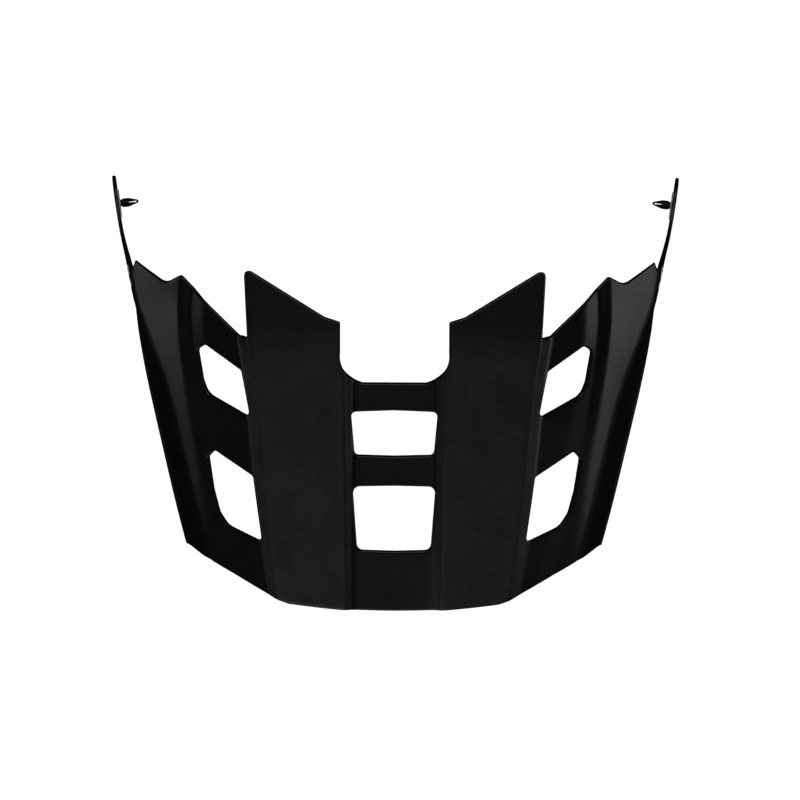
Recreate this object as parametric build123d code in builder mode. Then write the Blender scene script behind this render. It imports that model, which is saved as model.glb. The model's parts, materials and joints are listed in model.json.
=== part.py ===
from build123d import *

import os
from bisect import bisect_right
from math import cos, hypot, radians, sin

# Visor (peak) of a mountain-bike helmet: one moulded shell, two snap pins and two washers.
# Millimetres, +Z up, +X to one side, front edge towards -Y, arms towards +Y.
# The visor stands on the floor (Z = 0) on its two front corners and its two arm ends.

# Shell
valley_inset = 4.2  # from the ridge in to the valley beside it
valley_drop = 0.2
strip_run = 5.5  # from the valley in to the top of the strip
brim_thickness = 2.2
arm_thickness = 1.5
half_channel_width = 15.3  # flat floor of the centre channel
inner_crease_x = 18.0  # inner edge of each raised rib
wall_run = 3.6  # sideways run of the wall outside each rib
foot_lip_drop = 1.6
draw_tilt = 20.0  # the brim slopes down this much towards its front edge, in degrees
draw_origin = (0, -2, 57)
cut_depth = 120.0  # longer than any cut has to go
wing_cut_depth = 14.0
window_corner = 1.6
front_window_corner = 2.4
window_bend = 6.0
stations = (-97, -74, -50, -26, -2, 18, 34, 48, 61, 74, 90)  # places along Y of the loft's sections

# Side windows: the wing leans out and down, so its windows are cut square to it
wing_origin = (62, -22, 36)
wing_lean = 22.0
wing_slope = 17.0

# Arm ends and snap pins
arm_end_radius = 8.0
arm_end_y = 74.4
pin_x = 106.25  # outer face of the arm at the pin
pin_y = 71.6
pin_z = 8.0
toe_out = 7.5  # the arms spread by this angle towards their ends
lean = 2.5  # and by this angle towards their lower edges
bore_radius = 1.55
head_seat_radius = 2.9
head_seat_depth = 0.5
washer_seat_radius = 5.5
washer_seat_floor = 1.1
washer_radius = 5.3
washer_thickness = 0.8
washer_bore_radius = 1.6
head_radius = 2.8
shank_radius = 1.5
neck_radius = 1.35
barb_radius = 1.7
barb_rise = 0.3
pin_length = 8.8
head_inset = 0.03
neck_start = 2.05
barb_start = 2.8
barb_end = 5
tip_radius = 0.8
eye_middle = 6.5
eye_length = 3
eye_width = 0.6


def rail(*knots):
    """A smooth curve through (y, value) knots, as a function of y."""
    ys = [y for y, _ in knots]
    values = [value for _, value in knots]
    last = len(knots) - 1
    steps = [(values[i + 1] - values[i]) / (ys[i + 1] - ys[i]) for i in range(last)]
    slopes = [steps[0]]
    for i in range(1, last):
        before, after = ys[i] - ys[i - 1], ys[i + 1] - ys[i]
        slopes.append((steps[i - 1] * after + steps[i] * before) / (before + after))
    slopes.append(steps[-1])

    def at(y):
        i = min(max(bisect_right(ys, y) - 1, 0), last - 1)
        span = ys[i + 1] - ys[i]
        t = (y - ys[i]) / span
        start, end = values[i], values[i + 1]
        rise = t * t * (3 - 2 * t)
        bend = t * (1 - t) * ((1 - t) * slopes[i] - t * slopes[i + 1])
        return start + (end - start) * rise + span * bend

    return at


# Rails of the shell's outer face: how far out and how high each crease runs at each y
inner_crease_z = rail((-97, 23), (-22, 51), (48, 72), (93, 82))
outer_crease_x = rail(
    (-97, 38.5), (-77, 43.2), (-52, 46.4), (-22, 49.2), (3, 51.7), (18, 54), (40, 54.8), (93, 56)
)
outer_crease_drop = rail((-97, 3), (48, 4.5), (93, 5))
channel_depth = rail((-97, 1), (-42, 2.6), (28, 5), (93, 5))
wall_drop = rail((-97, 2.4), (48, 6), (93, 7))
ridge_x = rail((-97, 56), (-48, 69), (-20, 73.8), (6, 77.9), (24, 79.4), (40, 78.6), (93, 80))
ridge_z = rail((-97, 9), (-22, 32), (48, 51), (93, 61))
# Towards the rear the wing's ridge stands up as a crest, with a shallow valley and a strip inside it
strip_rise = rail((-97, 0.2), (-12, 0.2), (6, 0.4), (24, 1.0), (93, 1.2))
crest_rise = rail((-97, 0), (-12, 0), (6, 0.4), (27, 1.2), (93, 1.2))
roll_x = rail((-97, 58.6), (-48, 71.8), (-25, 76.4), (1, 81.8), (18, 85.6), (33, 88), (48, 89.5), (93, 94))
roll_z = rail(
    (-97, 6.9), (-48, 21.9), (-25, 28.2), (1, 35), (18, 38.8), (33, 41.5), (48, 44.4), (93, 53)
)
side_x = rail(
    (-97, 61),
    (-48, 74.3),
    (-25, 79.6),
    (1, 86.3),
    (18, 92.4),
    (33, 97.5),
    (43, 99.6),
    (58, 103),
    (74, 105.9),
    (93, 108.2),
)
side_z = rail(
    (-97, 4.9),
    (-48, 19.6),
    (-25, 25.3),
    (1, 30.8),
    (18, 33),
    (33, 33.7),
    (43, 34),
    (58, 30),
    (74, 27),
    (93, 27),
)
foot_x = rail(
    (-97, 66),
    (-55, 79.3),
    (-22, 87.5),
    (23, 97),
    (36, 98.8),
    (48, 101.7),
    (60, 104.7),
    (74, 107.1),
    (93, 109.4),
)
foot_z = rail((-97, -2.3), (-58, 1.8), (-22, 7), (18, 11.5), (36, 11), (53, 4), (68, 0.8), (93, -0.4))
lip_width = rail((-97, 1.2), (18, 1.2), (43, 0.6), (58, 0.3), (93, 0.3))
thickness = rail((-97, brim_thickness), (38, brim_thickness), (60, arm_thickness), (93, arm_thickness))


def outer_points(y):
    """The outer face's corners in the section at y, from the middle out to the foot."""
    crease_z = inner_crease_z(y)
    rib_z = crease_z - outer_crease_drop(y)
    floor_z = crease_z - channel_depth(y)
    foot_of_wall = (outer_crease_x(y) + wall_run, rib_z - wall_drop(y))
    ridge = (ridge_x(y), ridge_z(y) + crest_rise(y))

    def on_wing(x, rise):  # a corner at x, this far above the straight line from the wall to the ridge
        share = (x - foot_of_wall[0]) / (ridge_x(y) - foot_of_wall[0])
        return (x, foot_of_wall[1] + (ridge_z(y) - foot_of_wall[1]) * share + rise)

    valley_x = ridge_x(y) - valley_inset
    return [
        (0, floor_z),
        (half_channel_width, floor_z),
        (inner_crease_x, crease_z),
        (outer_crease_x(y), rib_z),
        foot_of_wall,
        on_wing(valley_x - strip_run, strip_rise(y)),
        on_wing(valley_x, -valley_drop),
        ridge,
        (roll_x(y), roll_z(y)),
        (side_x(y), side_z(y)),
        (foot_x(y) - lip_width(y), foot_z(y) + foot_lip_drop),
        (foot_x(y), foot_z(y)),
    ]


def inset(points, depth):
    """The points moved square to the line through them, to its lower side."""
    normals = []
    for (x0, z0), (x1, z1) in zip(points, points[1:]):
        length = hypot(x1 - x0, z1 - z0)
        normals.append(((z1 - z0) / length, (x0 - x1) / length))
    moved = []
    for i, (x, z) in enumerate(points):
        a = normals[max(i - 1, 0)]
        b = normals[min(i, len(normals) - 1)]
        reach = depth / (1 + a[0] * b[0] + a[1] * b[1])
        moved.append((x + (a[0] + b[0]) * reach, z + (a[1] + b[1]) * reach))
    return moved


def shell_section(y):
    """Half of the shell's closed section at y, on the plane that it lies in."""
    outer = outer_points(y)
    inner = inset(outer, thickness(y))
    ridge = 7  # the ridge's place in the list of corners
    with BuildSketch(Plane.XZ.offset(-y)) as section:
        with BuildLine():
            for points in (outer, inner):
                Polyline(points[: ridge + 1])
                Spline(points[ridge : ridge + 3])
                Polyline(points[ridge + 2 :])
            Line(outer[-1], inner[-1])
            Line(inner[0], outer[0])
        make_face()
    return section.sketch


draw_plane = Plane(
    origin=draw_origin,
    x_dir=(1, 0, 0),
    z_dir=(0, -sin(radians(draw_tilt)), cos(radians(draw_tilt))),
)
wing_plane = Plane(
    origin=wing_origin,
    x_dir=(cos(radians(wing_lean)), 0, -sin(radians(wing_lean))),
    z_dir=(
        sin(radians(wing_lean)) * cos(radians(wing_slope)),
        -sin(radians(wing_slope)),
        cos(radians(wing_lean)) * cos(radians(wing_slope)),
    ),
)


def pivot_plane(side):
    """Plane of the arm's outer face at the pin, its normal along the pin, towards the head."""
    return Plane(
        origin=(side * pin_x, pin_y, pin_z),
        x_dir=(-side * sin(radians(lean)), 0, cos(radians(lean))),
        z_dir=(
            -side * cos(radians(toe_out)) * cos(radians(lean)),
            sin(radians(toe_out)),
            -cos(radians(toe_out)) * sin(radians(lean)),
        ),
    )


def window(*corners, radius=window_corner):
    """A face with these corners, rounded except where they lie on the middle plane."""
    face = Polygon(*corners, align=None)
    fillet(face.vertices().filter_by(lambda v: abs(v.X) > 0.1), radius)


def wing_window(corners, bends):
    """A face with these corners, rounded to a larger radius where the outer edge bends."""
    with BuildLine() as edge:
        FilletPolyline(
            *corners,
            radius=[window_bend if k in bends else window_corner for k in range(len(corners))],
            close=True,
        )
    make_face(edge.edges())


# The trim: the brim's outline seen square to the brim, joined with the arm's outline seen from the side
with BuildPart() as trim:
    with BuildSketch(draw_plane):
        with BuildLine():
            ThreePointArc((0, -86.4), (20.4, -85.8), (39, -84.3))
            Polyline((39, -84.3), (43.6, -82.8), (69, -71.7), (80, -70.3), (125, -68), (125, 34))
            FilletPolyline(
                (125, 34),
                (97.7, 34.9),
                (96.4, 38.7),
                (84.4, 32.5),
                (78.4, 36.5),
                (70, 28.1),
                (56.7, 16.4),
                (53.9, 16.4),
                (55.1, 42.9),
                (25.5, 25.2),
                (19.8, 23.5),
                (19.8, 12),
                radius=(0.5, 0.5, 3.5, 1.2, 10, 0.8, 0.5, 2, 6, 0.8),
            )
            ThreePointArc((19.8, 12), (17.6, 4), (11.5, 0.1))
            Polyline((11.5, 0.1), (0, 0.1), (0, -86.4))
        make_face()
    extrude(amount=cut_depth, both=True)
    with BuildSketch(Plane.YZ.offset(cut_depth / 2)):
        with BuildLine():
            upper = Spline(
                (28, 37),
                (40, 33),
                (46, 28),
                (52, 23.4),
                (58, 19.8),
                (arm_end_y, pin_z + arm_end_radius),
            )
            end = ThreePointArc(
                upper @ 1,
                (arm_end_y + arm_end_radius, pin_z),
                (arm_end_y, pin_z - arm_end_radius),
            )
            Polyline(end @ 1, (70, 0.6), (70, -20), (28, -20), (28, 37))
        make_face()
    extrude(amount=cut_depth / 2)

# The shell: half of it is lofted, trimmed and pierced, and then mirrored
with BuildPart() as visor_shell:
    loft([shell_section(y) for y in stations])
    add(trim.part, mode=Mode.INTERSECT)
    with BuildSketch(draw_plane):
        window((0, -10), (15.9, -10.6), (14.5, -26.8), (0, -27.2))
        window((0, -38.3), (15.2, -38.6), (13.5, -63), (0, -63.4), radius=front_window_corner)
    extrude(amount=cut_depth, both=True, mode=Mode.SUBTRACT)
    with BuildSketch(wing_plane):
        wing_window(
            ((-10.4, 28.2), (3, 38.3), (6.8, 36.4), (6.2, 24.8), (4.8, 19.8), (-12, 10.1)),
            bends=(3, 4),
        )
        wing_window(
            (
                (-10.2, -11.7),
                (4.7, -1.7),
                (8, -4.4),
                (7.7, -17),
                (6.4, -25.8),
                (3.5, -30.7),
                (-10.4, -37.1),
            ),
            bends=(3, 4, 5),
        )
    extrude(amount=wing_cut_depth, both=True, mode=Mode.SUBTRACT)
    with BuildSketch(pivot_plane(1)):
        Circle(bore_radius)
    extrude(amount=arm_thickness, both=True, mode=Mode.SUBTRACT)
    with BuildSketch(pivot_plane(1).offset(head_seat_depth)):
        Circle(head_seat_radius)
    extrude(amount=-arm_thickness, mode=Mode.SUBTRACT)
    with BuildSketch(pivot_plane(1).offset(washer_seat_floor)):
        Circle(washer_seat_radius)
    extrude(amount=arm_thickness, mode=Mode.SUBTRACT)
    mirror(about=Plane.YZ)
visor_shell.part.label = "visor_shell"


def snap_pin(side):
    """A split snap pin: flush head, round shank, neck, and a barb with an eye through it."""
    plane = pivot_plane(side)
    along = Plane(origin=plane.origin, x_dir=plane.x_dir, z_dir=-plane.y_dir)
    with BuildPart() as pin:
        with BuildSketch(along):
            with BuildLine():
                Polyline(
                    (0, head_inset),
                    (head_radius, head_inset),
                    (head_radius, head_seat_depth - head_inset),
                    (shank_radius, head_seat_depth - head_inset),
                    (shank_radius, neck_start),
                    (neck_radius, neck_start),
                    (neck_radius, barb_start - barb_rise),
                    (barb_radius, barb_start),
                    (barb_radius, barb_end),
                    (tip_radius, pin_length - tip_radius),
                )
                ThreePointArc(
                    (tip_radius, pin_length - tip_radius),
                    (tip_radius * sin(radians(45)), pin_length - tip_radius * (1 - sin(radians(45)))),
                    (0, pin_length),
                )
                Line((0, pin_length), (0, head_inset))
            make_face()
        revolve(axis=Axis(plane.origin, plane.z_dir))
        with BuildSketch(Plane(origin=plane.origin, x_dir=plane.y_dir, z_dir=plane.x_dir)) as eye:
            with Locations((0, eye_middle)):
                SlotOverall(eye_length, eye_width, rotation=90)
        extrude(amount=barb_radius, both=True, mode=Mode.SUBTRACT)
    return pin.part


def washer(side):
    """A flat ring on the floor of its seat in the arm's inner face."""
    with BuildPart() as ring:
        with BuildSketch(pivot_plane(side).offset(washer_seat_floor)):
            Circle(washer_radius)
            Circle(washer_bore_radius, mode=Mode.SUBTRACT)
        extrude(amount=washer_thickness)
    return ring.part


pieces = [visor_shell.part]
for side, name in ((-1, "left"), (1, "right")):
    for make, kind in ((snap_pin, "pin"), (washer, "washer")):
        piece = make(side)
        piece.label = f"{name}_{kind}"
        pieces.append(piece)

os.makedirs("parts", exist_ok=True)
for piece in pieces:
    export_step(piece, f"parts/{piece.label}.step")
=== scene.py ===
import json
from math import cos, pi, radians, sin

import bmesh
import bpy
import numpy as np
from mathutils import Matrix, Vector
from mathutils.geometry import delaunay_2d_cdt


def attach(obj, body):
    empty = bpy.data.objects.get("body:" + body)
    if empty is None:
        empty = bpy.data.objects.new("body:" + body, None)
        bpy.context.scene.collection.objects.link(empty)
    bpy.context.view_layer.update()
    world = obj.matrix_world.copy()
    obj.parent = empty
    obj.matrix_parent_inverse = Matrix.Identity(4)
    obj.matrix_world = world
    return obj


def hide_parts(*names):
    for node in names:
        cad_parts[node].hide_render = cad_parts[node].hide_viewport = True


MM = 0.001

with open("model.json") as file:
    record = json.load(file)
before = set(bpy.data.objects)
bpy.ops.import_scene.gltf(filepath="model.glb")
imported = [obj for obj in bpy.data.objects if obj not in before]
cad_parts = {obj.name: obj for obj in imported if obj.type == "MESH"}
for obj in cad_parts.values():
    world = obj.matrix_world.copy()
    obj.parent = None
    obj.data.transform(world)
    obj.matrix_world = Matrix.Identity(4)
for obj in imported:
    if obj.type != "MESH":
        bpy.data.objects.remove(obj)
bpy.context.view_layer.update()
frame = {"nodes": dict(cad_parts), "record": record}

# Rails of the shell's outer face, in millimetres, as in the CAD model: each crease's value at places along Y
RAILS = {
    "inner_crease_z": ((-97, 23), (-22, 51), (48, 72), (93, 82)),
    "outer_crease_x": (
        (-97, 38.5), (-77, 43.2), (-52, 46.4), (-22, 49.2), (3, 51.7), (18, 54), (40, 54.8), (93, 56),
    ),
    "outer_crease_drop": ((-97, 3), (48, 4.5), (93, 5)),
    "channel_depth": ((-97, 1), (-42, 2.6), (28, 5), (93, 5)),
    "wall_drop": ((-97, 2.4), (48, 6), (93, 7)),
    "ridge_x": ((-97, 56), (-48, 69), (-20, 73.8), (6, 77.9), (24, 79.4), (40, 78.6), (93, 80)),
    "ridge_z": ((-97, 9), (-22, 32), (48, 51), (93, 61)),
    "crest_rise": ((-97, 0), (-12, 0), (6, 0.4), (27, 1.2), (93, 1.2)),
    "strip_rise": ((-97, 0.2), (-12, 0.2), (6, 0.4), (24, 1.0), (93, 1.2)),
    "roll_x": ((-97, 58.6), (-48, 71.8), (-25, 76.4), (1, 81.8), (18, 85.6), (33, 88), (48, 89.5), (93, 94)),
    "roll_z": (
        (-97, 6.9), (-48, 21.9), (-25, 28.2), (1, 35), (18, 38.8), (33, 41.5), (48, 44.4), (93, 53),
    ),
    "side_x": (
        (-97, 61), (-48, 74.3), (-25, 79.6), (1, 86.3), (18, 92.4), (33, 97.5), (43, 99.6), (58, 103),
        (74, 105.9), (93, 108.2),
    ),
    "side_z": (
        (-97, 4.9), (-48, 19.6), (-25, 25.3), (1, 30.8), (18, 33), (33, 33.7), (43, 34), (58, 30),
        (74, 27), (93, 27),
    ),
    "foot_x": (
        (-97, 66), (-55, 79.3), (-22, 87.5), (23, 97), (36, 98.8), (48, 101.7), (60, 104.7),
        (74, 107.1), (93, 109.4),
    ),
    "foot_z": ((-97, -2.3), (-58, 1.8), (-22, 7), (18, 11.5), (36, 11), (53, 4), (68, 0.8), (93, -0.4)),
    "lip_width": ((-97, 1.2), (18, 1.2), (43, 0.6), (58, 0.3), (93, 0.3)),
    "thickness": ((-97, 2.2), (38, 2.2), (60, 1.5), (93, 1.5)),
}
HALF_CHANNEL = 15.3
INNER_CREASE_X = 18.0
WALL_RUN = 3.6
VALLEY_INSET, VALLEY_DROP = 4.2, 0.2
STRIP_RUN = 5.5
LIP_DROP = 1.6
RIDGE = 7  # the ridge's place among the corners
# Half the width of the rounding at each crease, from the middle out to the foot
ROUNDING = (0, 2.2, 1.2, 1.2, 1.4, 1.6, 0.9, 1.4, 0, 3.0, 0.6, 0)
# Columns of points between the creases
COLUMNS = (11, 1, 24, 2, 8, 3, 2, 5, 9, 10, 1)
ROW_STEP = 1.3


def smooth(knots, y):
    """A cubic that passes smoothly through (y, value) knots."""
    at, value = np.array(knots, float).T
    gap = np.diff(at)
    step = np.diff(value) / gap
    slope = np.concatenate(
        ([step[0]], (step[:-1] * gap[1:] + step[1:] * gap[:-1]) / (gap[1:] + gap[:-1]), [step[-1]])
    )
    i = np.clip(np.searchsorted(at, y, side="right") - 1, 0, len(gap) - 1)
    t = (y - at[i]) / gap[i]
    bend = t * (1 - t) * ((1 - t) * slope[i] - t * slope[i + 1])
    return value[i] + (value[i + 1] - value[i]) * t * t * (3 - 2 * t) + gap[i] * bend


def rail(name, y):
    return smooth(RAILS[name], y)


def corners(y):
    """(x, z) of the outer face's twelve corners in the section at each y."""
    v = {name: rail(name, y) for name in RAILS}
    crease_z = v["inner_crease_z"]
    rib_z = crease_z - v["outer_crease_drop"]
    floor_z = crease_z - v["channel_depth"]
    flat = np.zeros_like(crease_z)
    wall_x, wall_z = v["outer_crease_x"] + WALL_RUN, rib_z - v["wall_drop"]

    def on_wing(x, rise):
        return x, wall_z + (v["ridge_z"] - wall_z) * (x - wall_x) / (v["ridge_x"] - wall_x) + rise

    valley_x = v["ridge_x"] - VALLEY_INSET
    return np.stack(
        [
            np.stack(pair, -1)
            for pair in (
                (flat, floor_z),
                (flat + HALF_CHANNEL, floor_z),
                (flat + INNER_CREASE_X, crease_z),
                (v["outer_crease_x"], rib_z),
                (wall_x, wall_z),
                on_wing(valley_x - STRIP_RUN, v["strip_rise"]),
                on_wing(valley_x, -VALLEY_DROP),
                (v["ridge_x"], v["ridge_z"] + v["crest_rise"]),
                (v["roll_x"], v["roll_z"]),
                (v["side_x"], v["side_z"]),
                (v["foot_x"] - v["lip_width"], v["foot_z"] + LIP_DROP),
                (v["foot_x"], v["foot_z"]),
            )
        ],
        1,
    )


def inset(points, depth):
    """The corners moved square to the line through them, to its lower side."""
    run = np.diff(points, axis=1)
    length = np.linalg.norm(run, axis=2, keepdims=True)
    normal = np.stack((run[..., 1], -run[..., 0]), -1) / length
    before = np.concatenate((normal[:, :1], normal), 1)
    after = np.concatenate((normal, normal[:, -1:]), 1)
    return points + (before + after) * (depth[:, None] / (1 + (before * after).sum(2)))[..., None]


class Face:
    """The shell's outer or inner face, as a map from (distance across the section, y) to a point."""

    def __init__(self, inner):
        self.inner = inner

    def section(self, y):
        outer = corners(y)
        across = np.concatenate(
            (np.zeros((len(y), 1)), np.cumsum(np.linalg.norm(np.diff(outer, axis=1), axis=2), 1)), 1
        )
        return across, inset(outer, rail("thickness", y)) if self.inner else outer

    @staticmethod
    def plain(a, across, points):
        """The section's point at distance a, before its creases are rounded."""
        rows = np.arange(len(a))
        i = np.clip((a[:, None] >= across).sum(1) - 1, 0, across.shape[1] - 2)
        f = (a - across[rows, i]) / (across[rows, i + 1] - across[rows, i])
        place = points[rows, i] + (points[rows, i + 1] - points[rows, i]) * f[:, None]
        start, middle, end = (points[:, k] for k in range(RIDGE, RIDGE + 3))
        first = np.linalg.norm(middle - start, axis=1)
        share = first / (first + np.linalg.norm(end - middle, axis=1))
        t = np.where(i == RIDGE, f * share, share + f * (1 - share))
        curve = (
            start * ((t - share) * (t - 1) / share)[:, None]
            + middle * (t * (t - 1) / (share * (share - 1)))[:, None]
            + end * (t * (t - share) / (1 - share))[:, None]
        )
        return np.where(((i == RIDGE) | (i == RIDGE + 1))[:, None], curve, place)

    def at(self, a, y):
        """Points of the face, in millimetres."""
        across, points = self.section(y)
        a = np.clip(a, 0, across[:, -1])
        flat = self.plain(a, across, points)
        for k, width in enumerate(ROUNDING):
            if not width:
                continue
            near = np.abs(a - across[:, k]) < width
            if not near.any():
                continue
            across_k, points_k = across[near], points[near]
            before = self.plain(across_k[:, k] - width, across_k, points_k)
            after = self.plain(across_k[:, k] + width, across_k, points_k)
            u = ((a[near] - across_k[:, k] + width) / (2 * width))[:, None]
            flat[near] = (1 - u) ** 2 * before + 2 * u * (1 - u) * points_k[:, k] + u * u * after
        return np.stack((flat[:, 0], y, flat[:, 1]), 1)

    def width(self, y):
        return self.section(y)[0][:, -1]

    def guess(self, place):
        """(a, y) of the face's points nearest in x, or in height where the face is steep."""
        across, points = self.section(place[:, 1])
        out = []
        for row, p in enumerate(place):
            x, z = points[row, :, 0], points[row, :, 1]
            if p[0] < x[RIDGE + 1]:
                out.append(np.interp(p[0], x, across[row]))
            else:
                out.append(np.interp(-p[2], -z[RIDGE:], across[row, RIDGE:]))
        return np.array(out)

    def solve(self, view, targets, place):
        """(a, y) of the points that view shows at targets, starting from a guess at their places."""
        y = place[:, 1].astype(float)
        a = self.guess(place)
        h = SOLVE_PROBE
        for _ in range(SOLVE_ROUNDS):
            here = view.flat(self.at(a, y))
            miss = targets - here
            side = np.where(a > 2 * h, -h, h)
            da = (view.flat(self.at(a + side, y)) - here) / side[:, None]
            dy = (view.flat(self.at(a, y + h)) - here) / h
            det = da[:, 0] * dy[:, 1] - da[:, 1] * dy[:, 0]
            det = np.where(np.abs(det) < SMALLEST_TURN, SMALLEST_TURN, det)
            step_a = (miss[:, 0] * dy[:, 1] - miss[:, 1] * dy[:, 0]) / det
            step_y = (da[:, 0] * miss[:, 1] - da[:, 1] * miss[:, 0]) / det
            a = a + np.clip(step_a, -SOLVE_REACH, SOLVE_REACH)
            y = y + np.clip(step_y, -SOLVE_REACH, SOLVE_REACH)
        return np.stack((a, y), 1)


class View:
    """A flat view of the shell, square to a plane: an outline cut through the shell is drawn in it."""

    def __init__(self, origin, x_dir, z_dir):
        self.origin = np.array(origin, float)
        self.x_dir = np.array(x_dir, float)
        self.z_dir = np.array(z_dir, float)
        self.y_dir = np.cross(self.z_dir, self.x_dir)

    def flat(self, points):
        away = points - self.origin
        return np.stack((away @ self.x_dir, away @ self.y_dir), -1)

    def place(self, flat, depth=0.0):
        flat = np.asarray(flat, float)
        return self.origin + flat[:, :1] * self.x_dir + flat[:, 1:] * self.y_dir + depth * self.z_dir


# Views that the outlines are drawn in: square to the brim, to the wing, and from the side
TILT, WING_LEAN, WING_SLOPE = radians(20), radians(22), radians(17)
DRAW = View((0, -2, 57), (1, 0, 0), (0, -sin(TILT), cos(TILT)))
WING = View(
    (62, -22, 36),
    (cos(WING_LEAN), 0, -sin(WING_LEAN)),
    (sin(WING_LEAN) * cos(WING_SLOPE), -sin(WING_SLOPE), cos(WING_LEAN) * cos(WING_SLOPE)),
)
SIDE = View((100, 0, 0), (0, 1, 0), (1, 0, 0))

SOLVE_ROUNDS, SOLVE_PROBE, SOLVE_REACH = 30, 0.02, 3  # rounds, trial step and longest step
SMALLEST_TURN = 1e-4  # the solver's steps never divide by less
CROSSING_TRIALS = 400
SAME_POINT = 1e-7  # points closer than this are one point
ON_MIDDLE = 1e-9  # points this close to the middle are shared by both sides
BATCHES = 24  # points are tested against the edges in this many batches, to save memory
POINT_STEP = 1.1  # between points along an edge
END_STEP = 0.8  # and round the arm's end
ARC_STEP = 0.4
EDGE_GAP = 0.65  # the least distance from an edge to the points inside it
FOOT_POINTS, TOP_POINTS = 122, 26  # along the foot, and along the arm's top
RIM_ROUNDING, SEAT_ROUNDING = 0.55, 0.12
FLAT_ENOUGH, SQUARE_ENOUGH = radians(12), radians(50)  # for joining two triangles into one quad

ARM_Y, ARM_Z, ARM_RADIUS = 74.4, 8.0, 8.0
FOOT_END_Y = 75.4
ARM_TOP = ((28, 37), (40, 33), (46, 28), (52, 23.4), (58, 19.8), (74.4, 16))
WINDOW_CORNER, FRONT_WINDOW_CORNER, WINDOW_BEND = 1.6, 2.4, 6.0
CENTRE_WINDOWS = (
    ((0, -10), (15.9, -10.6), (14.5, -26.8), (0, -27.2)),
    ((0, -38.3), (15.2, -38.6), (13.5, -63), (0, -63.4)),
)
WING_WINDOWS = (
    ((-10.4, 28.2), (3, 38.3), (6.8, 36.4), (6.2, 24.8), (4.8, 19.8), (-12, 10.1)),
    ((-10.2, -11.7), (4.7, -1.7), (8, -4.4), (7.7, -17), (6.4, -25.8), (3.5, -30.7), (-10.4, -37.1)),
)
WING_BENDS = ((3, 4), (3, 4, 5))  # the corners with the larger radius
HEAD_SEAT_RADIUS, HEAD_SEAT_DEPTH = 2.9, 0.5
WASHER_SEAT_RADIUS, WASHER_SEAT_FLOOR = 5.5, 1.1
BORE_RADIUS = 1.55
CIRCLE_POINTS = 48
FRONT_ARC = ((0, -86.4), (20.4, -85.8), (39, -84.3))
FRONT_LINE = ((39, -84.3), (43.6, -82.8), (69, -71.7))
FRONT_CORNER = ((69, -71.7), (80, -70.3), (125, -68))
CORNER_POINTS = 10
NOTCH_FLOOR = ((97.7, 34.9), (125, 34))
NOTCH_SIDE = ((97.7, 34.9), (96.4, 38.7))
NOTCH_MIDDLE, NOTCH_POINTS = (97.05, 36.8), 6
REAR_LINE = (
    NOTCH_MIDDLE, (96.4, 38.7), (84.4, 32.5), (78.4, 36.5), (70, 28.1), (56.7, 16.4),
    (53.9, 16.4), (55.1, 42.9), (25.5, 25.2), (19.8, 23.5), (19.8, 12),
)
REAR_RADII = (0.5, 3.5, 1.2, 10, 0.8, 0.5, 2, 6, 0.8)
REAR_ARC = ((19.8, 12), (17.6, 4), (11.5, 0.1))
REAR_MIDDLE = (0, 0.1)


def arc(centre, radius, start, end, step=ARC_STEP):
    """Points along a circular arc between two angles."""
    angle = np.linspace(start, end, max(3, int(abs(end - start) * radius / step)) + 1)
    return np.stack((centre[0] + radius * np.cos(angle), centre[1] + radius * np.sin(angle)), -1)


def arc_through(start, middle, end):
    """Points along the circular arc through three points."""
    (ax, ay), (bx, by), (cx, cy) = start, middle, end
    d = 2 * (ax * (by - cy) + bx * (cy - ay) + cx * (ay - by))
    a, b, c = ax * ax + ay * ay, bx * bx + by * by, cx * cx + cy * cy
    centre_x = (a * (by - cy) + b * (cy - ay) + c * (ay - by)) / d
    centre_y = (a * (cx - bx) + b * (ax - cx) + c * (bx - ax)) / d
    centre = np.array((centre_x, centre_y))
    angles = np.unwrap([np.arctan2(*(np.array(p) - centre)[::-1]) for p in (start, middle, end)])
    return arc(centre, np.hypot(*(start - centre)), angles[0], angles[2], POINT_STEP)


def straight(start, end):
    """Points along a straight run, both ends included."""
    count = max(1, round(float(np.hypot(*np.subtract(end, start))) / POINT_STEP))
    return np.linspace(start, end, count + 1)


def spread(points, count):
    """This many points, evenly spaced along a polyline."""
    points = np.array(points, float)
    along = np.concatenate(([0], np.cumsum(np.hypot(*np.diff(points, axis=0).T))))
    at = np.linspace(0, along[-1], count)
    return np.stack([np.interp(at, along, value) for value in points.T], -1)


def rounded(points, radii, closed=False):
    """Points along a polyline with a radius at each of its corners."""
    points = np.array(points, float)
    last = len(points)
    parts = []
    for k, radius in zip(range(last) if closed else range(1, last - 1), radii):
        into = points[k] - points[k - 1]
        out = points[(k + 1) % last] - points[k]
        into /= np.hypot(*into)
        out /= np.hypot(*out)
        cross = into[0] * out[1] - into[1] * out[0]
        turn = np.arctan2(cross, into @ out)
        start = points[k] - into * radius * np.tan(abs(turn) / 2)
        centre = start + np.sign(turn) * radius * np.array((-into[1], into[0]))
        angle = np.arctan2(*(start - centre)[::-1])
        parts.append(arc(centre, radius, angle, angle + turn))
    if not closed:
        parts = [points[:1], *parts, points[-1:]]
    line = parts[0]
    for part in parts[1:]:
        line = np.concatenate((line, straight(line[-1], part[0])[1:-1], part))
    if closed:
        line = np.concatenate((line, straight(line[-1], line[0])[1:-1]))
    return line


def circle(radius):
    """Points round a circle about the view's origin."""
    return arc((0, 0), radius, 0, 2 * pi, 2 * pi * radius / CIRCLE_POINTS)[:CIRCLE_POINTS]


def crossing(miss, low, high):
    """Where miss changes sign between low and high."""
    at = np.linspace(low, high, CROSSING_TRIALS)
    value = miss(at)
    k = int(np.argmax(np.sign(value[1:]) != np.sign(value[:-1])))
    return at[k] + (at[k + 1] - at[k]) * value[k] / (value[k] - value[k + 1])


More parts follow.
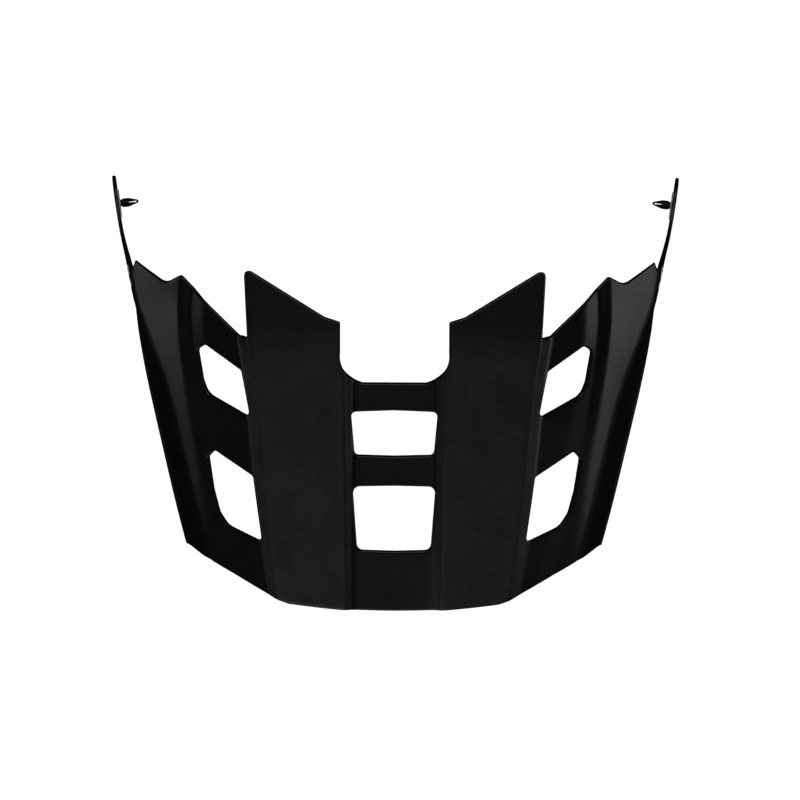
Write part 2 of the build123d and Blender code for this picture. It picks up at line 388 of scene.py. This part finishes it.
def edges_of(face):
    """The face's edges in (a, y): the outer chain and the half windows on the middle line, then the holes."""

    def cut(view, targets):
        return face.solve(view, targets, view.place(targets))

    def foot_miss(y):
        x, v = DRAW.flat(face.at(face.width(y), y)).T
        return v - np.interp(x, *np.transpose(FRONT_CORNER))

    def arm_top(y):
        side = np.stack((y, smooth(ARM_TOP, y)), -1)
        return cut(SIDE, side)

    def rear_miss(y):
        x, v = DRAW.flat(face.at(*arm_top(y).T)).T
        side_x, side_v = np.transpose(NOTCH_SIDE)
        return np.minimum(v - np.interp(x, *np.transpose(NOTCH_FLOOR)), x - np.interp(v, side_v, side_x))

    front_y = crossing(foot_miss, -75, -50)
    corner = DRAW.flat(face.at(face.width(np.array([front_y])), np.array([front_y])))[0]
    front = np.concatenate(
        (
            arc_through(*FRONT_ARC),
            straight(*FRONT_LINE[:2])[1:],
            straight(*FRONT_LINE[1:])[1:],
            np.linspace(FRONT_LINE[-1], corner, CORNER_POINTS)[1:-1],
        )
    )
    foot_y = np.linspace(front_y, FOOT_END_Y, FOOT_POINTS)
    foot = np.stack((face.width(foot_y), foot_y), -1)
    start = np.arcsin((FOOT_END_Y - ARM_Y) / ARM_RADIUS) - radians(90)
    end = arc((ARM_Y, ARM_Z), ARM_RADIUS, start, radians(90), END_STEP)[1:]
    rear_y = crossing(rear_miss, 42, 60)
    top = arm_top(np.linspace(ARM_Y, rear_y, TOP_POINTS)[1:])
    meet = DRAW.flat(face.at(*top[-1:].T))[0]
    notch = [meet, NOTCH_SIDE[0], NOTCH_MIDDLE] if meet[0] > NOTCH_SIDE[0][0] else [meet, NOTCH_MIDDLE]
    rear = np.concatenate(
        (
            spread(notch, NOTCH_POINTS)[1:-1],
            rounded(REAR_LINE, REAR_RADII),
            arc_through(*REAR_ARC)[1:],
            straight(REAR_ARC[-1], REAR_MIDDLE)[1:],
        )
    )
    outer = np.concatenate((cut(DRAW, front), foot, cut(SIDE, end), top, cut(DRAW, rear)))
    halves = [
        cut(DRAW, rounded(points, (radius, radius)))
        for points, radius in zip(CENTRE_WINDOWS, (WINDOW_CORNER, FRONT_WINDOW_CORNER))
    ]
    holes = []
    for points, bends in zip(WING_WINDOWS, WING_BENDS):
        radii = [WINDOW_BEND if k in bends else WINDOW_CORNER for k in range(len(points))]
        holes.append(cut(WING, rounded(points, radii, closed=True)))
    holes.append(cut(PIN, circle(WASHER_SEAT_RADIUS if face.inner else HEAD_SEAT_RADIUS)))
    for chain in (outer, *halves):
        chain[[0, -1], 0] = 0
    return [outer, *halves], holes


def inside(points, edges):
    """Whether each point is inside the edges, counting crossings."""
    (x1, y1), (x2, y2) = edges[:, 0].T[:, None], edges[:, 1].T[:, None]
    x, y = points[:, :1], points[:, 1:]
    spans = (y1 > y) != (y2 > y)
    rise = np.where(y1 == y2, 1, y2 - y1)
    return (spans & (x < (x2 - x1) * (y - y1) / rise + x1)).sum(1) % 2 == 1


def clearance(points, edges):
    """How far each point is from the nearest edge."""
    start, run = edges[:, 0], edges[:, 1] - edges[:, 0]
    away = points[:, None] - start
    share = np.clip((away * run).sum(2) / np.maximum((run * run).sum(1), 1e-12), 0, 1)
    return np.linalg.norm(away - share[..., None] * run, axis=2).min(1)


def columns(across):
    """Distances across one section at which the points inside the face stand."""
    at = []
    for k, count in enumerate(COLUMNS):
        low, high = across[k] + ROUNDING[k], across[k + 1] - ROUNDING[k + 1]
        at += [across[k], across[k] + ROUNDING[k] / 2] if ROUNDING[k] else []
        at += list(np.linspace(low, high, count + 1))
        at += [across[k + 1] - ROUNDING[k + 1] / 2] if ROUNDING[k + 1] else []
    return np.array(at)


def mesh_face(face):
    """The face's points and triangles on the right half, and the indices of its chains and holes."""
    chains, holes = edges_of(face)
    outer, rear_half, front_half = chains
    middle = [
        straight((0, outer[-1, 1]), (0, rear_half[0, 1]))[1:-1],
        straight((0, rear_half[-1, 1]), (0, front_half[0, 1]))[1:-1],
        straight((0, front_half[-1, 1]), (0, outer[0, 1]))[1:-1],
    ]
    loop = [outer, middle[0], rear_half, middle[1], front_half, middle[2]]
    start = np.cumsum([0] + [len(part) for part in loop])
    chain_ids = [np.arange(start[k], start[k + 1]) for k in (0, 2, 4)]
    rings = [np.concatenate(loop), *holes]
    first = np.cumsum([0] + [len(ring) for ring in rings])
    ring_ids = [np.arange(first[k], first[k + 1]) for k in range(len(rings))]
    points = np.concatenate(rings)
    links = np.concatenate([np.stack((ids, np.roll(ids, -1)), 1) for ids in ring_ids])
    edges = points[links]
    rows = np.arange(points[:, 1].min(), points[:, 1].max(), ROW_STEP)
    across, _ = face.section(rows)
    grid = np.concatenate(
        [np.stack((at := columns(line), np.full(len(at), y)), 1) for line, y in zip(across, rows)]
    )
    keep = [
        part[inside(part, edges) & (clearance(part, edges) > EDGE_GAP)]
        for part in np.array_split(grid, BATCHES)
    ]
    points = np.concatenate([points, *keep])
    found = delaunay_2d_cdt([Vector(p) for p in points], links.tolist(), [], 0, SAME_POINT)
    back = np.empty(len(points), int)
    for new, old in enumerate(found[3]):
        for k in old:
            back[k] = new
    place = np.array(found[0])
    faces = np.array(found[2])
    centres = np.array_split(place[faces].mean(1), BATCHES)
    faces = faces[np.concatenate([inside(part, edges) for part in centres])]
    return place, faces, [back[ids] for ids in chain_ids], [back[ids] for ids in ring_ids[1:]]


def strip(first, second, closed):
    """Quads between two rows of points of the same length."""
    count = len(first) if closed else len(first) - 1
    n = len(first)
    return [(first[k], first[(k + 1) % n], second[(k + 1) % n], second[k]) for k in range(count)]


def shell_mesh():
    """The whole shell: two faces, the rims between them, and the pins' stepped bores, mirrored."""
    outer, inner = Face(False), Face(True)
    flat_out, faces_out, chains_out, holes_out = mesh_face(outer)
    flat_in, faces_in, chains_in, holes_in = mesh_face(inner)
    shift = len(flat_out)
    points = [outer.at(*flat_out.T), inner.at(*flat_in.T)]
    polygons = [tuple(face) for face in faces_out]
    polygons += [tuple(face[::-1] + shift) for face in faces_in]
    sharp = []
    for chain_out, chain_in in zip(chains_out, chains_in):
        polygons += strip(chain_out, chain_in + shift, False)
        sharp += zip(chain_out[:-1], chain_out[1:])
        sharp += zip(chain_in[:-1] + shift, chain_in[1:] + shift)
    for hole_out, hole_in in zip(holes_out[:-1], holes_in[:-1]):
        polygons += strip(hole_out, hole_in + shift, True)
        sharp += zip(hole_out, np.roll(hole_out, -1))
        sharp += zip(hole_in + shift, np.roll(hole_in, -1) + shift)
    rings = [holes_out[-1]]
    base = shift + len(flat_in)
    for radius, depth in (
        (HEAD_SEAT_RADIUS, HEAD_SEAT_DEPTH),
        (BORE_RADIUS, HEAD_SEAT_DEPTH),
        (BORE_RADIUS, WASHER_SEAT_FLOOR),
        (WASHER_SEAT_RADIUS, WASHER_SEAT_FLOOR),
    ):
        ring = PIN.place(circle(radius), depth)
        points.append(ring)
        rings.append(np.arange(base, base + len(ring)))
        base += len(ring)
    rings.append(holes_in[-1] + shift)
    fine = []
    for first, second in zip(rings, rings[1:]):
        polygons += strip(first, second, True)
    for ring in rings:
        fine += zip(ring, np.roll(ring, -1))
    points = np.concatenate(points)
    points[:, 2] = np.maximum(points[:, 2], 0)

    mesh = bmesh.new()
    made = {}
    for side in (1, -1):
        verts = []
        for k, (x, y, z) in enumerate(points):
            if abs(x) < ON_MIDDLE and k in made:
                verts.append(made[k])
                continue
            vert = mesh.verts.new((side * x * MM, y * MM, z * MM))
            if abs(x) < ON_MIDDLE:
                made[k] = vert
            verts.append(vert)
        for polygon in polygons:
            mesh.faces.new([verts[k] for k in (polygon if side == 1 else polygon[::-1])])
        if side == 1:
            right = verts
        else:
            left = verts
    mesh.normal_update()
    bmesh.ops.recalc_face_normals(mesh, faces=mesh.faces)

    def pick(pairs):
        """The edges between pairs of points, each once and in the same order in every run."""
        found = [mesh.edges.get((verts[a], verts[b])) for verts in (right, left) for a, b in pairs]
        return [edge for edge in dict.fromkeys(found) if edge]

    rims, seats = pick(sharp), pick(fine)
    bmesh.ops.join_triangles(
        mesh,
        faces=[f for f in mesh.faces if len(f.verts) == 3],
        angle_face_threshold=FLAT_ENOUGH,
        angle_shape_threshold=SQUARE_ENOUGH,
    )
    for edges, rounding, segments in ((rims, RIM_ROUNDING, 3), (seats, SEAT_ROUNDING, 2)):
        bmesh.ops.bevel(
            mesh,
            geom=[edge for edge in edges if edge.is_valid],
            offset=rounding * MM,
            segments=segments,
            profile=0.5,
            affect="EDGES",
            clamp_overlap=False,
            offset_type="OFFSET",
        )
    # A bevel leaves its faces in any order, so they are sorted by their points for the same order each run
    mesh.verts.index_update()
    in_order = sorted(mesh.faces, key=lambda face: sorted(vert.index for vert in face.verts))
    rank = {face: k for k, face in enumerate(in_order)}
    mesh.faces.sort(key=rank.get)
    return mesh


joint = [j for j in frame["record"]["behaviour"]["joints"] if j["name"] == "right_swivel"][0]
pin_axis = Vector(joint["axis"]).normalized()
across_pin = Vector((0, 0, 1)) - pin_axis * pin_axis.z
PIN = View([v / MM for v in joint["pos_m"]], across_pin.normalized(), pin_axis)

# Camera: it looks down on the visor, a little from its front edge
AIM = Vector((0.00205, -0.002, 0.0))
DISTANCE = 1.4
ELEVATION = radians(85)
ROLL = radians(0.25)
VIEW_WIDTH = 0.304  # metres across the picture at the aim point
SENSOR = 36.0

# Lights: name, place, size and power
LIGHTS = (
    ("front", (-0.3, -1.35, 0.75), (1.3, 0.6), 4.0),
    ("top", (0, -0.3, 1.8), (1.6, 1.6), 0.7),
    ("left", (-1.3, 0.1, 0.12), (1.2, 0.24), 1.15),
    ("right", (1.3, 0.05, 0.2), (1.3, 0.4), 2.4),
    ("back", (0, 0.6, 1.6), (1.0, 0.5), 3.6),
)
LIGHT_AIM = Vector((0, 0, 0.03))
ROOM, ROOM_BELOW = 0.020, 0.002  # brightness of the room that the gloss reflects, above and below
HORIZON = 0.1  # how far above and below the horizon the two levels run into each other
FLOOR_SIZE = 12.0
FLOOR_GLOW = 1.0

# Materials: colours, roughnesses, the scales of noises per metre, and depths of relief in metres
MIDDLE = (0.3, 0.7)  # the part of a noise's range that most of it lies in
BLACK_LOW, BLACK_HIGH = (0.0016, 0.0016, 0.0018), (0.0032, 0.0032, 0.0034)
MATTE_LOW, MATTE_HIGH = (0.0035, 0.0035, 0.0037), (0.0125, 0.0125, 0.0127)
PATCH_SCALE, MOTTLE_SCALE, GRAIN_SCALE, FLOW_SCALE, CLOUD_SCALE = 90, 700, 2600, 18, 55
PATCH_RELIEF, GRAIN_RELIEF, INK_RELIEF = 0.000012, 0.00004, 0.00004
SMOOTH_GRAIN = 0.12  # share of the grain's relief on the smooth plastic
WORN_HIGHLIGHT_SHARE = 0.6  # how far a fully polished edge takes the worn colour, which also paints a highlight on it
STREAKS = (-0.02, 0.02)
# Where the texture is, in millimetres: the width of its border, where the arms' starts, and where
# the ribs' starts to thin towards the back, over what distance, and by what share
MATTE_BORDER = 0.8
ARM_START_X, ARM_START_Y = 90.0, 47.0
FADE_START, FADE_RUN, FADE_SHARE = 4.0, 16.0, 0.9
# Colour of polished edges: worn plastic, made lighter as a painted highlight
BLACK_WORN_HIGHLIGHT = (0.007, 0.007, 0.007)
SMOOTH_ROUGH, CLOUDY_ROUGH, NYLON_ROUGH, FOAM_ROUGH = (0.28, 0.34), (0.24, 0.40), (0.40, 0.52), (0.75, 0.92)
SHEEN_DROP = 0.1  # how much smoother a fully polished edge is
INK_EDGE, INK_RAGGED = 0.0001, 0.00012  # metres: how soft and how uneven the ink's edges are
INK_LOW, INK_HIGH = (0.62, 0.62, 0.62), (0.78, 0.78, 0.77)
NYLON_LOW, NYLON_HIGH = (0.0010, 0.0010, 0.0011), (0.0024, 0.0024, 0.0025)
# The foam's colours; the last is painted shade inside its pores
FOAM_LOW, FOAM_HIGH, FOAM_PORE_SHADE = (0.68, 0.68, 0.67), (0.84, 0.84, 0.83), (0.52, 0.52, 0.51)
NYLON_SHINE = 0.25
FULL_WEAR_AND_HIGHLIGHT = 0.5  # curvature at which an edge is fully polished and carries its full painted highlight, in 1/mm
# The printed mark, in metres: where its bars start, their pitch, width, number, ends and slope
MARK_START, MARK_PITCH, MARK_BAR, MARK_COUNT = 0.0215, 0.0042, 0.0024, 3
MARK_BOTTOM, MARK_TOP, MARK_SLANT = 0.016, 0.0335, 0.45
NODE_BEVELS, BEVEL_ANGLE = {"pin": 0.00014, "washer": 0.00018}, radians(35)


def add_object(name, data):
    thing = bpy.data.objects.new(name, data)
    bpy.context.scene.collection.objects.link(thing)
    return thing


def add_camera():
    data = bpy.data.cameras.new("camera")
    data.sensor_width = SENSOR
    data.lens = SENSOR * DISTANCE / VIEW_WIDTH
    data.clip_end = FLOOR_SIZE
    camera = add_object("camera", data)
    back = Vector((0, -cos(ELEVATION), sin(ELEVATION)))
    turn = Matrix.Rotation(radians(90) - ELEVATION, 4, "X") @ Matrix.Rotation(ROLL, 4, "Z")
    camera.matrix_world = Matrix.Translation(AIM + back * DISTANCE) @ turn
    bpy.context.scene.camera = camera


def add_light(name, place, size, power):
    """A soft rectangular light."""
    data = bpy.data.lights.new(name, "AREA")
    data.shape = "RECTANGLE"
    data.size, data.size_y = size
    data.energy = power
    light = add_object(name, data)
    light.location = place
    light.rotation_euler = (Vector(place) - LIGHT_AIM).to_track_quat("Z", "Y").to_euler()


def add_room():
    """A dim room, and a plain white floor that the black plastic doesn't mirror."""
    world = bpy.data.worlds.new("world")
    bpy.context.scene.world = world
    world.use_nodes = True
    tree = world.node_tree
    split = tree.nodes.new("ShaderNodeSeparateXYZ")
    tree.links.new(tree.nodes.new("ShaderNodeTexCoord").outputs["Generated"], split.inputs[0])
    level = tree.nodes.new("ShaderNodeMapRange")
    for value, socket in zip((-HORIZON, HORIZON, ROOM_BELOW, ROOM), list(level.inputs)[1:5]):
        socket.default_value = value
    tree.links.new(split.outputs["Z"], level.inputs["Value"])
    tree.links.new(level.outputs["Result"], tree.nodes["Background"].inputs["Strength"])
    tree.nodes["Background"].inputs["Color"].default_value = (1, 1, 1, 1)
    bpy.context.scene.view_settings.view_transform = "Standard"
    data = bpy.data.meshes.new("floor")
    half = FLOOR_SIZE / 2
    rim = [(-half, -half, 0), (half, -half, 0), (half, half, 0), (-half, half, 0)]
    data.from_pydata(rim, [], [(0, 1, 2, 3)])
    floor = add_object("floor", data)
    material = bpy.data.materials.new("floor")
    material.use_nodes = True
    shader = material.node_tree.nodes["Principled BSDF"]
    shader.inputs["Base Color"].default_value = (0.9, 0.9, 0.9, 1)
    shader.inputs["Roughness"].default_value = 0.9
    shader.inputs["Emission Color"].default_value = (1, 1, 1, 1)
    shader.inputs["Emission Strength"].default_value = FLOOR_GLOW
    data.materials.append(material)
    floor.visible_glossy = False


class Paint:
    """A material, and short ways to add nodes to it."""

    def __init__(self, name):
        self.material = bpy.data.materials.new(name)
        self.material.use_nodes = True
        self.tree = self.material.node_tree
        self.shader = self.tree.nodes["Principled BSDF"]
        self.place = self.add("ShaderNodeTexCoord").outputs["Object"]

    def add(self, kind, **values):
        node = self.tree.nodes.new(kind)
        for name, value in values.items():
            setattr(node, name, value)
        return node

    def link(self, value, socket):
        if isinstance(value, bpy.types.NodeSocket):
            self.tree.links.new(value, socket)
        else:
            socket.default_value = value

    def noise(self, scale, detail=4.0, rough=0.55, place=None):
        node = self.add("ShaderNodeTexNoise")
        self.link(place or self.place, node.inputs["Vector"])
        node.inputs["Scale"].default_value = scale
        node.inputs["Detail"].default_value = detail
        node.inputs["Roughness"].default_value = rough
        return node.outputs["Fac"]

    def cells(self, scale):
        node = self.add("ShaderNodeTexVoronoi")
        self.link(self.place, node.inputs["Vector"])
        node.inputs["Scale"].default_value = scale
        return node.outputs["Distance"]

    def math(self, operation, *values):
        node = self.add("ShaderNodeMath", operation=operation)
        for value, socket in zip(values, node.inputs):
            self.link(value, socket)
        return node.outputs[0]

    def span(self, value, low, high, to_low=0.0, to_high=1.0):
        """value mapped smoothly from low..high onto to_low..to_high."""
        node = self.add("ShaderNodeMapRange", interpolation_type="SMOOTHSTEP")
        for item, socket in zip((value, low, high, to_low, to_high), node.inputs):
            self.link(item, socket)
        return node.outputs["Result"]

    def mix(self, share, first, second):
        """A colour between first and second."""
        node = self.add("ShaderNodeMix", data_type="RGBA")
        for item, name in ((share, "Factor_Float"), (first, "A_Color"), (second, "B_Color")):
            socket = [s for s in node.inputs if s.identifier == name][0]
            self.link((*item, 1) if isinstance(item, tuple) else item, socket)
        return [s for s in node.outputs if s.identifier == "Result_Color"][0]

    def bump(self, height, distance, under=None):
        node = self.add("ShaderNodeBump")
        self.link(height, node.inputs["Height"])
        node.inputs["Distance"].default_value = distance
        if under:
            self.link(under, node.inputs["Normal"])
        return node.outputs["Normal"]

    def finish(self, colour, roughness, normal):
        self.link(colour, self.shader.inputs["Base Color"])
        self.link(roughness, self.shader.inputs["Roughness"])
        self.link(normal, self.shader.inputs["Normal"])
        return self.material


def moulded_black():
    """The shell: black plastic, textured on the ribs and arms, polished at its edges and lightened there by a
    painted highlight, with a printed mark.
    """
    paint = Paint("moulded_black")
    wear_and_highlight = paint.add("ShaderNodeAttribute", attribute_name="wear_and_highlight").outputs["Fac"]
    ribs = paint.add("ShaderNodeAttribute", attribute_name="matte").outputs["Fac"]
    matte_share = paint.math("MULTIPLY", ribs, paint.math("SUBTRACT", 1.0, wear_and_highlight))
    patches = paint.noise(PATCH_SCALE, 5, 0.6)
    mottle = paint.noise(MOTTLE_SCALE, 3, 0.6)
    grain = paint.cells(GRAIN_SCALE)
    flow = paint.noise(FLOW_SCALE, 2)

    tone = paint.math("ADD", paint.math("MULTIPLY", patches, 0.5), paint.math("MULTIPLY", mottle, 0.5))
    smooth_black = paint.mix(paint.span(tone, *MIDDLE), BLACK_LOW, BLACK_HIGH)
    matte_black = paint.mix(paint.span(tone, 0.4, 0.6), MATTE_LOW, MATTE_HIGH)
    black = paint.mix(matte_share, smooth_black, matte_black)
    # Outward-curving edges lightened: partly wear, partly a painted highlight
    black = paint.mix(paint.math("MULTIPLY", wear_and_highlight, WORN_HIGHLIGHT_SHARE), black, BLACK_WORN_HIGHLIGHT)

    streaks = paint.span(flow, *MIDDLE, *STREAKS)
    smooth_rough = paint.math("ADD", paint.span(tone, *MIDDLE, *SMOOTH_ROUGH), streaks)
    cloudy = paint.span(paint.noise(CLOUD_SCALE, 6, 0.65), *MIDDLE, *CLOUDY_ROUGH)
    textured = paint.math("ADD", smooth_rough, paint.math("MULTIPLY", matte_share, cloudy))
    polished = paint.math("SUBTRACT", textured, paint.math("MULTIPLY", wear_and_highlight, SHEEN_DROP))

    mark = side_mark(paint)
    ink = paint.mix(paint.span(mottle, 0.35, 0.65), INK_LOW, INK_HIGH)
    colour = paint.mix(mark, black, ink)
    rough = paint.math("ADD", polished, paint.math("MULTIPLY", mark, 0.1))

    relief = paint.math("MULTIPLY", grain, paint.span(matte_share, 0.0, 1.0, SMOOTH_GRAIN, 1.0))
    soft = paint.bump(patches, PATCH_RELIEF)
    texture = paint.bump(relief, GRAIN_RELIEF, soft)
    printed = paint.bump(mark, INK_RELIEF, texture)
    return paint.finish(colour, rough, printed)


def side_mark(paint):
    """Three slanted bars printed on the outer face of each arm's base."""
    split = paint.add("ShaderNodeSeparateXYZ")
    paint.link(paint.place, split.inputs[0])
    x, y, z = split.outputs
    ragged = paint.span(paint.noise(1500, 2), 0.2, 0.8, -INK_RAGGED, INK_RAGGED)
    along = paint.math("ADD", paint.math("SUBTRACT", y, paint.math("MULTIPLY", z, MARK_SLANT)), ragged)
    across = paint.math("PINGPONG", paint.math("SUBTRACT", along, MARK_START), MARK_PITCH / 2)
    gap = (MARK_PITCH - MARK_BAR) / 2
    inside = paint.span(across, gap - INK_EDGE, gap + INK_EDGE)
    for value, low, high in (
        (along, MARK_START, MARK_START + MARK_COUNT * MARK_PITCH),
        (z, MARK_BOTTOM, MARK_TOP),
    ):
        above = paint.span(value, low - INK_EDGE, low + INK_EDGE)
        below = paint.span(value, high - INK_EDGE, high + INK_EDGE, 1.0, 0.0)
        inside = paint.math("MULTIPLY", inside, paint.math("MULTIPLY", above, below))
    facing = paint.add("ShaderNodeSeparateXYZ")
    paint.link(paint.add("ShaderNodeTexCoord").outputs["Normal"], facing.inputs[0])
    outward = paint.math("MULTIPLY", facing.outputs[0], paint.math("SIGN", x))
    return paint.math("MULTIPLY", inside, paint.span(outward, 0.3, 0.4))


def pin_nylon():
    """The snap pins: smooth black nylon with faint swirls."""
    paint = Paint("pin_nylon")
    swirl = paint.noise(260, 4, 0.6)
    fine = paint.noise(2400, 2)
    colour = paint.mix(paint.span(swirl, *MIDDLE), NYLON_LOW, NYLON_HIGH)
    specks = paint.span(fine, *MIDDLE, -0.03, 0.03)
    rough = paint.math("ADD", paint.span(swirl, *MIDDLE, *NYLON_ROUGH), specks)
    paint.shader.inputs["Specular IOR Level"].default_value = NYLON_SHINE
    return paint.finish(colour, rough, paint.bump(fine, 0.00001, paint.bump(swirl, 0.00003)))


def washer_foam():
    """The washers: pale closed-cell foam rubber with open pores on its skin, darkened inside by painted
    shade.
    """
    paint = Paint("washer_foam")
    pores = paint.cells(2200)
    cloud = paint.noise(400, 4, 0.6)
    colour = paint.mix(paint.span(cloud, *MIDDLE), FOAM_LOW, FOAM_HIGH)
    # Darker in the pores: painted shade in the hollows
    colour = paint.mix(paint.span(pores, 0.0, 0.25, 0.5, 0.0), colour, FOAM_PORE_SHADE)
    rough = paint.span(cloud, *MIDDLE, *FOAM_ROUGH)
    height = paint.math("ADD", paint.span(pores, 0.0, 0.3), paint.math("MULTIPLY", cloud, 0.5))
    return paint.finish(colour, rough, paint.bump(height, 0.00006))


def add_wear_and_highlight(data):
    """Stores two values at each point: how far handling has polished it and a painted highlight lightens it,
    and how much texture it has.

    The first is how strongly the surface curves outwards. The second covers the ribs and the arms."""
    count = len(data.vertices)
    place = np.empty(count * 3)
    normal = np.empty(count * 3)
    pairs = np.empty(len(data.edges) * 2, np.int32)
    data.vertices.foreach_get("co", place)
    data.vertices.foreach_get("normal", normal)
    data.edges.foreach_get("vertices", pairs)
    place, normal, pairs = place.reshape(-1, 3), normal.reshape(-1, 3), pairs.reshape(-1, 2)
    run = place[pairs[:, 1]] - place[pairs[:, 0]]
    turn = normal[pairs[:, 1]] - normal[pairs[:, 0]]
    bend = (run * turn).sum(1) / np.maximum((run * run).sum(1), 1e-12)
    total, touching = np.zeros(count), np.zeros(count)
    for end in pairs.T:
        np.add.at(total, end, bend)
        np.add.at(touching, end, 1)
    curve = np.clip(total / touching * MM, 0, None)
    # Wear and painted highlight: how strongly each point curves outwards
    layer = data.attributes.new("wear_and_highlight", "FLOAT", "POINT")
    layer.data.foreach_set("value", np.clip(curve / FULL_WEAR_AND_HIGHLIGHT, 0, 1))
    x, y = np.abs(place[:, 0]) / MM, place[:, 1] / MM
    on_rib = np.minimum(x - HALF_CHANNEL, rail("outer_crease_x", y) + WALL_RUN - x)
    layer = data.attributes.new("matte", "FLOAT", "POINT")
    on_arm = np.where(x > ARM_START_X, y - ARM_START_Y, -1)
    fade = FADE_SHARE * np.clip((y - FADE_START) / FADE_RUN, 0, 1)
    rib = np.clip(on_rib / MATTE_BORDER, 0, 1) * (1 - fade)
    layer.data.foreach_set("value", np.maximum(rib, np.clip(on_arm / MATTE_BORDER, 0, 1)))


mesh = shell_mesh()
data = bpy.data.meshes.new("shell")
mesh.to_mesh(data)
mesh.free()
data.shade_smooth()
add_wear_and_highlight(data)
shell = add_object("shell", data)
shell.data.materials.append(moulded_black())
weighted = shell.modifiers.new("normals", "WEIGHTED_NORMAL")
weighted.keep_sharp = True
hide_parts("visor_shell")
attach(shell, "visor")

paints = {"pin": pin_nylon(), "washer": washer_foam()}
for name, node in frame["nodes"].items():
    kind = name.split("_")[-1]
    if kind not in paints:
        continue
    for slot in node.material_slots:
        slot.material = paints[kind]
    bevel = node.modifiers.new("edges", "BEVEL")
    bevel.width = NODE_BEVELS[kind]
    bevel.segments = 2
    bevel.limit_method = "ANGLE"
    bevel.angle_limit = BEVEL_ANGLE

add_camera()
for light in LIGHTS:
    add_light(*light)
add_room()
